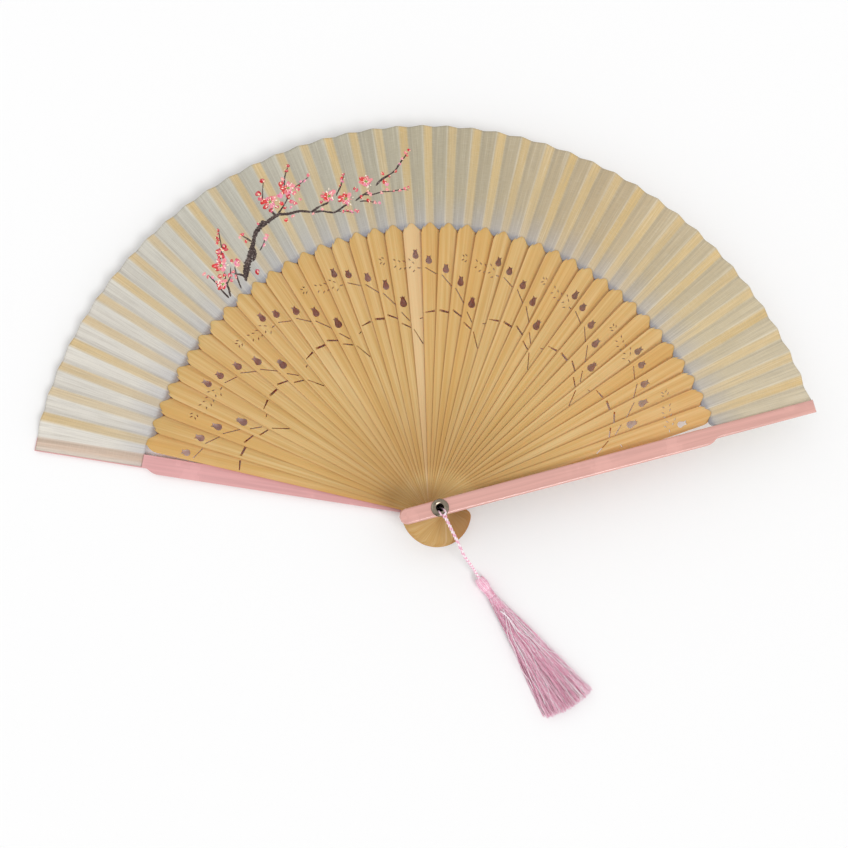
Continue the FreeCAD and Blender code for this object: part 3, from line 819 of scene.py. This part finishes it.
# The twigs: how uneven the stroke's edges are, then its points as (stick, radius, width).
TWIGS = [
    (0.2, [(10.72, 142.4, 1.0), (10.85, 144.6, 2.4), (11.25, 148.6, 3.3), (11.9, 153.2, 2.8),
        (12.15, 156.6, 2.0), (12.5, 159.6, 2.2), (12.9, 161.2, 2.3), (13.4, 161.9, 1.8),
        (13.9, 162.0, 1.7)]),
    (0.25, [(12.0, 153.0, 1.4), (11.95, 151.0, 1.9), (11.6, 148.4, 1.4)]),
    (0.25, [(12.6, 159.6, 2.4), (12.9, 161.4, 2.4), (13.1, 163.2, 1.5)]),
    (0.12, [(10.5, 149.4, 0.5), (10.7, 147.0, 0.9), (10.85, 144.4, 1.1)]),
    (0.12, [(13.8, 162.0, 1.7), (14.2, 160.8, 1.4), (14.8, 158.9, 1.2), (15.3, 156.9, 1.2),
        (15.9, 154.2, 1.0), (16.3, 152.8, 1.0), (16.7, 153.6, 1.0), (17.0, 155.0, 0.7)]),
    (0.12, [(15.2, 157.2, 1.0), (15.7, 157.6, 1.1), (16.1, 158.3, 0.9), (16.3, 160.0, 0.5)]),
    (0.12, [(13.7, 162.2, 1.4), (13.6, 164.5, 1.0), (13.7, 167.0, 0.7)]),
    (0.12, [(13.8, 162.2, 1.0), (14.1, 164.4, 0.7), (14.5, 167.4, 0.6), (14.6, 170.0, 0.4)]),
    (0.12, [(13.5, 172.0, 0.6), (13.7, 176.0, 0.6), (13.9, 180.0, 0.4)]),
    (0.12, [(14.6, 173.5, 0.6), (14.8, 178.0, 0.6), (15.1, 182.6, 0.4)]),
    (0.12, [(14.9, 171.2, 0.5), (15.3, 172.4, 0.5), (15.7, 173.4, 0.35)]),
    (0.12, [(16.6, 160.4, 0.8), (16.9, 164.0, 0.8), (17.2, 169.6, 0.5)]),
    (0.12, [(17.4, 155.6, 0.8), (17.8, 157.2, 0.9), (18.2, 159.4, 0.6)]),
    (0.12, [(17.6, 154.6, 0.7), (18.0, 154.0, 0.6), (18.4, 153.0, 0.5)]),
    (0.12, [(18.5, 161.2, 1.1), (18.9, 164.2, 1.1), (19.5, 167.8, 0.9), (19.8, 172.0, 0.7),
        (20.1, 176.2, 0.5)]),
    (0.12, [(17.9, 157.4, 0.7), (18.7, 157.2, 0.6), (19.4, 157.6, 0.5), (20.0, 157.0, 0.35)]),
    (0.12, [(12.1, 157.2, 1.2), (12.0, 160.0, 0.8), (11.9, 161.8, 0.5)]),
    (0.12, [(12.2, 151.4, 0.6), (12.5, 152.8, 0.6), (12.8, 155.2, 0.4)]),
    (0.12, [(16.4, 153.0, 0.5), (16.8, 151.4, 0.5), (17.2, 150.2, 0.35)]),
    (0.12, [(9.6, 141.8, 1.0), (9.8, 145.0, 1.0), (9.95, 149.0, 0.9), (10.2, 153.0, 0.7)]),
    (0.12, [(10.4, 158.6, 0.7), (10.8, 162.0, 0.6), (11.2, 170.6, 0.35)]),
    (0.12, [(10.3, 141.6, 0.7), (10.5, 147.0, 0.7), (10.75, 151.6, 0.5)]),
    (0.12, [(9.5, 142.0, 0.9), (9.5, 146.4, 0.8), (9.56, 150.6, 0.7), (9.55, 156.3, 0.5)]),
    (0.12, [(9.9, 147.4, 0.6), (10.3, 149.6, 0.5), (10.6, 152.9, 0.4)]),
]
# The blossoms: stick, radius, size and the direction of their redder side.
BLOSSOMS = [
    (13.75, 169.2, 3.9, 150),
    (14.72, 171.8, 3.7, 170),
    (16.3, 161.5, 3.8, 170),
    (17.0, 157.7, 3.8, 130),
    (18.1, 164.2, 3.6, 140),
    (10.3, 156.6, 3.8, 150),
    (9.75, 148.6, 2.9, 220),
]
# The buds: their size, the share of red ones, then their places as (stick, radius).
BUDS = [
    (1.5, 0.9, [(13.45, 173.6), (13.5, 176.0), (13.85, 180.6), (13.6, 165.6), (13.5, 171.4), (13.9, 165.8)]),
    (1.5, 0.8, [(14.5, 175.2), (14.65, 177.4), (14.95, 180.4), (15.1, 182.8), (14.3, 170.6), (14.6, 168.0)]),
    (1.1, 0.3, [(15.2, 171.6), (15.35, 173.2), (15.5, 172.6), (15.72, 174.4), (15.1, 170.0), (14.9, 168.6)]),
    (1.2, 0.35, [(14.5, 163.0), (14.7, 163.8), (14.6, 165.4), (15.0, 164.8), (14.2, 164.0), (14.2, 166.6)]),
    (1.1, 0.3, [(14.0, 157.8), (14.4, 158.6), (15.3, 156.0), (15.8, 155.8), (16.1, 159.9), (15.8, 159.4)]),
    (1.0, 0.6, [(16.9, 164.8), (17.05, 167.0), (17.1, 168.6), (17.2, 170.4), (17.5, 161.8), (17.6, 160.6)]),
    (1.0, 0.3, [(16.9, 151.6), (17.1, 150.8), (16.7, 151.9), (17.3, 151.0), (17.4, 150.2)]),
    (1.1, 0.5, [(18.0, 154.4), (18.3, 153.2), (18.5, 152.4), (18.1, 158.6), (17.7, 156.4), (18.2, 157.4)]),
    (0.95, 0.2, [(18.7, 157.0), (19.0, 158.4), (19.3, 157.6), (19.6, 157.2), (19.8, 157.8), (20.0, 158.6)]),
    (1.1, 0.4, [(18.9, 162.4), (19.0, 161.0), (19.2, 165.6), (19.5, 167.0), (18.9, 166.6), (19.7, 170.6)]),
    (0.9, 0.4, [(19.85, 173.0), (20.0, 176.4), (20.15, 178.0), (20.05, 175.2)]),
    (1.1, 0.35, [(11.9, 162.4), (11.75, 161.8), (11.9, 158.6), (12.85, 155.8), (12.5, 152.4),
        (12.8, 162.6)]),
    (1.3, 0.1, [(11.45, 143.2), (12.7, 154.4)]),
    (1.7, 1.0, [(10.55, 160.8), (10.75, 162.2), (10.6, 162.6), (11.0, 162.8), (10.65, 159.6),
        (10.9, 161.8)]),
    (0.9, 0.7, [(10.8, 165.8), (10.95, 168.0), (11.2, 171.2), (10.9, 166.6), (11.1, 169.8)]),
    (1.3, 0.5, [(10.9, 153.0), (11.05, 153.6), (10.8, 154.8), (10.9, 151.4), (10.55, 150.2), (10.3, 150.4)]),
    (1.0, 0.3, [(9.6, 154.4), (9.5, 156.6), (9.45, 158.8), (9.6, 151.8), (10.2, 147.6), (10.5, 147.8)]),
    (1.3, 0.5, [(9.55, 149.8), (10.1, 151.8), (9.9, 152.6)]),
]


def blossom_spray():
    """The painted branch with its blossoms and buds, as one piece on the silk."""
    brush = Brush()
    for rough, points in TWIGS:
        brush.stroke(points, rough)
    for blossom in BLOSSOMS:
        brush.blossom(*blossom)
    for size, red, points in BUDS:
        brush.buds(points, size, red)
    verts, faces = gather(brush.parts)
    piece = mesh_object("painted_blossom", verts, faces)
    paint(piece, np.concatenate(brush.colours))
    finish_with(piece, daubed())
    fold_with_fan(piece)
    return piece


# ---- Cord and tassel ----
def cord_line():
    """Points of the route's smooth NURBS line."""
    curve = bpy.data.curves.new("cord_route", "CURVE")
    curve.dimensions = "3D"
    curve.resolution_u = 24
    spline = curve.splines.new("NURBS")
    spline.points.add(len(CORD_ROUTE) - 1)
    for p, place in zip(spline.points, CORD_ROUTE):
        p.co = tuple(c * MM for c in place) + (1.0,)
    spline.order_u = 3
    spline.use_endpoint_u = True
    obj = bpy.data.objects.new("cord_route", curve)
    bpy.context.scene.collection.objects.link(obj)
    bpy.context.view_layer.update()
    mesh = bpy.data.meshes.new_from_object(obj)
    line = np.array([v.co[:] for v in mesh.vertices]) / MM
    bpy.data.objects.remove(obj)
    bpy.data.meshes.remove(mesh)
    return line


STRAND_R = 0.42
TWIST_R = 0.38
TWIST_PITCH = 3.2


def pinks(values):
    """Thread colours between deep and pale pink, for shares from 0 to 1."""
    v = np.clip(np.asarray(values, float), 0, 1)
    stops = [0.0, 0.45, 0.8, 1.0]
    colours = ((230, 142, 176), (252, 184, 209), (255, 220, 234), (255, 250, 252))
    tones = np.array([linear(*colour) for colour in colours])
    return np.stack([np.interp(v, stops, tones[:, i]) for i in range(4)], -1)


def twisted_cord(line):
    """Two satin strands laid round each other, apart where they come up out of the eyelet."""
    run = np.concatenate([[0], np.cumsum(np.linalg.norm(np.diff(line, axis=0), axis=1))])
    t = np.arange(0, run[-1], 0.22)
    p = np.stack([np.interp(t, run, line[:, i]) for i in range(3)], -1)
    along = np.gradient(p, axis=0)
    along /= np.linalg.norm(along, axis=1)[:, None]
    side = np.array(CORD_SIDE) - along * (along @ np.array(CORD_SIDE))[:, None]
    side /= np.linalg.norm(side, axis=1)[:, None]
    up = np.cross(along, side)
    out = np.hypot(p[:, 0], p[:, 1])
    joined = np.clip((out - 2.8) / 3.0, 0, 1)
    joined = eased(joined)
    first = t[np.argmax(joined > 0.0)]
    phase = 2 * math.pi * np.maximum(t - first, 0) / TWIST_PITCH
    apart = TWIST_R + (1 - joined) * 0.85
    parts, tones = [], []
    for half in (0.0, math.pi):
        swing = phase + half
        centre = p + apart[:, None] * (np.cos(swing)[:, None] * side + np.sin(swing)[:, None] * up)
        strand = tube(centre, STRAND_R, 8)
        parts.append(strand)
        # Painted sheen and shade: each strand turns paler and deeper twice in every twist.
        sheen = 0.72 + 0.5 * np.sin(phase * 2.0 + half)
        tones.append(np.repeat(sheen, 8))
    verts, faces = gather(parts)
    piece = mesh_object("twisted_cord", verts, faces)
    paint(piece, pinks(np.concatenate(tones)))
    finish_with(piece, THREAD)
    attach(piece, "rear_guard_body")
    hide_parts("tassel_cord")
    return piece


def tassel_place(points):
    """Points built along +X from the tassel's top, as they lie on the floor."""
    return turned(points, TASSEL_ANGLE) + np.array(TASSEL_TOP + (0.0,))


def tassel_head():
    """The cap: threads drawn lengthwise over a round core."""
    rows = 40
    around = 72
    verts, faces, tones = [], [], []
    for j in range(rows):
        t = j / (rows - 1)
        x = HEAD_LONG * t
        bulge = math.sin(math.pi * min(1.0, 0.12 + 0.8 * t)) ** 0.55
        r = 0.9 + (HEAD_R - 0.9) * bulge if t < 0.97 else NECK_R
        for i in range(around):
            a = 2 * math.pi * i / around
            ridge = math.cos(18 * a + 5.0 * t + 0.6 * math.sin(3 * a))
            grow = r * (1 + 0.045 * ridge)
            verts.append((x, grow * math.cos(a), TASSEL_AXIS + grow * math.sin(a)))
            # Painted light: each thread is paler on its crest and darker in the grooves beside it; the
            # sevenfold sine is a tone that differs round the cap.
            tones.append(0.45 + 0.3 * ridge + 0.12 * math.sin(7 * a))
    for j in range(rows - 1):
        for i in range(around):
            k = (i + 1) % around
            low = j * around
            high = low + around
            faces.append((low + i, low + k, high + k, high + i))
    faces.append(tuple(range(around))[::-1])
    faces.append(tuple((rows - 1) * around + i for i in range(around)))
    piece = mesh_object("tassel_cap", tassel_place(verts), faces)
    paint(piece, pinks(tones))
    finish_with(piece, THREAD)
    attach(piece, "rear_guard_body")
    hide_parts("tassel_head")
    return piece


def tassel_neck():
    """A binding thread wound round the neck."""
    turns = 8
    thick = 0.21
    t = np.linspace(0, turns, turns * 28)
    a = 2 * math.pi * t
    reach = NECK_R - thick + 0.06 * np.sin(t * 3.1)
    along = HEAD_LONG - 0.1 + t / turns * (NECK_LONG + 0.2)
    winding = tube(np.stack([along, reach * np.cos(a), TASSEL_AXIS + reach * np.sin(a)], -1), thick, 6)
    core_stops = (HEAD_LONG - 0.3, HEAD_LONG + NECK_LONG / 2, HEAD_LONG + NECK_LONG + 0.3)
    core = tube([(x, 0, TASSEL_AXIS) for x in core_stops], NECK_R - 0.25, 24)
    verts, faces = gather([winding, core])
    piece = mesh_object("tassel_binding", tassel_place(verts), faces)
    tones = np.concatenate([np.repeat(0.55 + 0.25 * np.sin(a * 5), 6), np.full(len(core[0]), 0.2)])
    paint(piece, pinks(tones))
    finish_with(piece, THREAD)
    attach(piece, "rear_guard_body")
    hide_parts("tassel_neck")
    return piece


LOCKS = 48
THREADS_PER_LOCK = 13
STRAYS = 7
THREAD_R = 0.15
THREAD_POINTS = 36
CRIMPS = 11
CUT_SLANT = 0.117
LAYER_HEIGHTS = (0.7, 2.2, 3.9)
SKIRT_START = HEAD_LONG + NECK_LONG - 0.4


def lock_threads(lock, s):
    """The threads of one loose lock, from the neck to the cut end, for shares s of their length."""
    settle = eased(np.clip(s / 0.6, 0, 1))
    layer = lock % 3
    share = (lock // 3 + 0.5 + rng.uniform(-0.4, 0.4)) / (LOCKS / 3)
    spread = (2 * share - 1) * (SKIRT_HALF - 0.5)
    wave = rng.uniform(0.15, 0.6)
    beat = rng.uniform(1.0, 2.2)
    turn = rng.uniform(0, 2 * math.pi)
    height = LAYER_HEIGHTS[layer] * (1 - 0.35 * (spread / SKIRT_HALF) ** 2)
    lock_tone = rng.uniform(0.35, 0.8)
    parts, tones = [], []
    for _ in range(THREADS_PER_LOCK):
        dy = rng.normal(0, 0.55)
        dz = rng.normal(0, 0.33)
        a = rng.uniform(0, 2 * math.pi)
        r = (NECK_R - 0.35) * math.sqrt(rng.uniform(0, 1))
        y0 = r * math.cos(a)
        z0 = TASSEL_AXIS + r * math.sin(a)
        y1 = spread + dy
        long = SKIRT_LONG - 0.4 + 1.6 * (1 - (y1 / SKIRT_HALF) ** 2) + CUT_SLANT * y1 + rng.normal(0, 0.35)
        x = SKIRT_START + s * long
        crimp = 0.1 * np.sin(2 * math.pi * (s * CRIMPS + rng.uniform(0, 1))) * np.clip(s * 5, 0, 1)
        y = y0 + (y1 - y0) * s**0.93 + wave * np.sin(2 * math.pi * beat * s + turn) * s + crimp
        y += rng.normal(0, 0.25) * np.sin(math.pi * s)
        z = z0 + (height + dz - z0) * settle + 0.3 * np.sin(2 * math.pi * beat * s + turn + 1.0) * s
        z = np.maximum(z, THREAD_R + 0.12)
        parts.append(tube(np.stack([x, y, z], -1), THREAD_R, 3, phase=rng.uniform(0, 1.5)))
        # Each thread's tone: its lock's own tone, varied at random, with painted glints that come and go
        # along it.
        tone_and_glint = lock_tone + rng.uniform(-0.3, 0.3)
        tone_and_glint = tone_and_glint + 0.3 * np.sin(2 * math.pi * (s * rng.uniform(1, 3) + rng.uniform(0, 1)))
        tones.append(np.repeat(tone_and_glint, 3))
    return parts, tones


def stray_thread(s):
    """One pale thread that lies across the others."""
    y0 = rng.uniform(-6, 6)
    y1 = rng.uniform(-11, 11)
    bow = rng.uniform(-2.5, 2.5)
    x = SKIRT_START + 8 + s * rng.uniform(36, 48)
    y = y0 * 0.25 + (y1 - y0 * 0.25) * s + bow * np.sin(math.pi * s) + 0.5 * np.sin(5 * math.pi * s)
    z = 5.0 - 0.9 * s + 0.2 * np.sin(4 * math.pi * s)
    return tube(np.stack([x, y, z], -1), THREAD_R, 4), np.repeat(np.full(len(s), 0.95), 4)


def tassel_skirt():
    """Hundreds of crimped satin threads in loose locks, spread flat and cut on a slight slant."""
    s = np.linspace(0, 1, THREAD_POINTS)
    parts, tones = [], []
    for lock in range(LOCKS):
        threads, thread_tones = lock_threads(lock, s)
        parts += threads
        tones += thread_tones
    for _ in range(STRAYS):
        thread, thread_tone = stray_thread(s)
        parts.append(thread)
        tones.append(thread_tone)
    verts, faces = gather(parts)
    piece = mesh_object("tassel_threads", tassel_place(verts), faces)
    paint(piece, pinks(np.concatenate(tones)))
    finish_with(piece, THREAD)
    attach(piece, "rear_guard_body")
    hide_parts("tassel_skirt")
    return piece


def dress_knot():
    """Gives the stopper knot its finish."""
    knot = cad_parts["stopper_knot"]
    finish_with(knot, KNOT_THREAD)
    return knot


def knot_thread():
    """The stopper knot's own thread, with its turns drawn by rings: bumps, with a painted highlight on their
    crests and painted shade between them.
    """
    n = Nodes("knot_thread")
    x, y, z = n.split(n.place())
    out = n.math("SQRT", n.math("ADD", n.math("MULTIPLY", x, x), n.math("MULTIPLY", y, y)))
    rings = n.math("SINE", n.math("MULTIPLY", out, 9000.0))
    # Painted light: paler on the rings' crests, darker in the grooves between them.
    base = n.mix(n.ramp(rings, -1.0, 1.0), linear(214, 140, 164), linear(246, 196, 212))
    n.link(base, n.shader.inputs["Base Color"])
    n.set(Roughness=0.4)
    n.bump(rings, 0.4, 0.0001)
    return n.material


# ---- Stage ----
CAMERA_AT = (-51.3, -15.0, 454.4)
CAMERA_TURN = (7.3, -5.93, -2.73)
CAMERA_LENS = 39.78
FLOOR_HALF = 12000.0
FLOOR_DROP = 0.2


def camera():
    """The camera; its turn is one rotation, by the vector's length about the vector."""
    data = bpy.data.cameras.new("camera")
    data.sensor_width = 36.0
    data.lens = CAMERA_LENS
    data.clip_start, data.clip_end = 0.01, 20.0
    cam = bpy.data.objects.new("camera", data)
    bpy.context.scene.collection.objects.link(cam)
    turn = Vector([math.radians(c) for c in CAMERA_TURN])
    spin = Matrix.Rotation(turn.length, 4, turn.normalized())
    cam.matrix_world = Matrix.Translation(Vector(CAMERA_AT) * MM) @ spin
    bpy.context.scene.camera = cam


def lights():
    """Soft studio light: a pale sky and two wide suns."""
    world = bpy.data.worlds.new("studio")
    world.use_nodes = True
    back = world.node_tree.nodes["Background"]
    back.inputs["Color"].default_value = (1.0, 1.0, 1.0, 1.0)
    back.inputs["Strength"].default_value = 0.72
    bpy.context.scene.world = world
    for name, strength, softness, towards in (
        ("key", 1.05, 24.0, (0.45, -0.62, 1.0)),
        ("fill", 0.35, 60.0, (-0.8, 0.5, 1.0)),
    ):
        data = bpy.data.lights.new(name, "SUN")
        data.energy = strength
        data.angle = math.radians(softness)
        sun = bpy.data.objects.new(name, data)
        bpy.context.scene.collection.objects.link(sun)
        sun.rotation_mode = "QUATERNION"
        sun.rotation_quaternion = Vector(towards).to_track_quat("Z", "Y")


def floor():
    """A wide pale floor just under the fan."""
    half = FLOOR_HALF
    verts = [(-half, -half, 0), (half, -half, 0), (half, half, 0), (-half, half, 0)]
    ground = mesh_object("floor", verts, [(0, 1, 2, 3)], smooth=False)
    ground.location.z = -FLOOR_DROP * MM
    finish_with(ground, floor_paper())


def look():
    """Plain colours, with no film look."""
    view = bpy.context.scene.view_settings
    view.view_transform = "Standard"
    view.look = "None"
    view.exposure = 0.0


camera()
lights()
floor()
look()
THREAD = satin("satin_thread")
KNOT_THREAD = knot_thread()
dress_sticks()
eyelet()
leaf = silk_leaf()
spray = blossom_spray()
route = cord_line()
cord = twisted_cord(route)
cap, binding, skirt, knot = tassel_head(), tassel_neck(), tassel_skirt(), dress_knot()
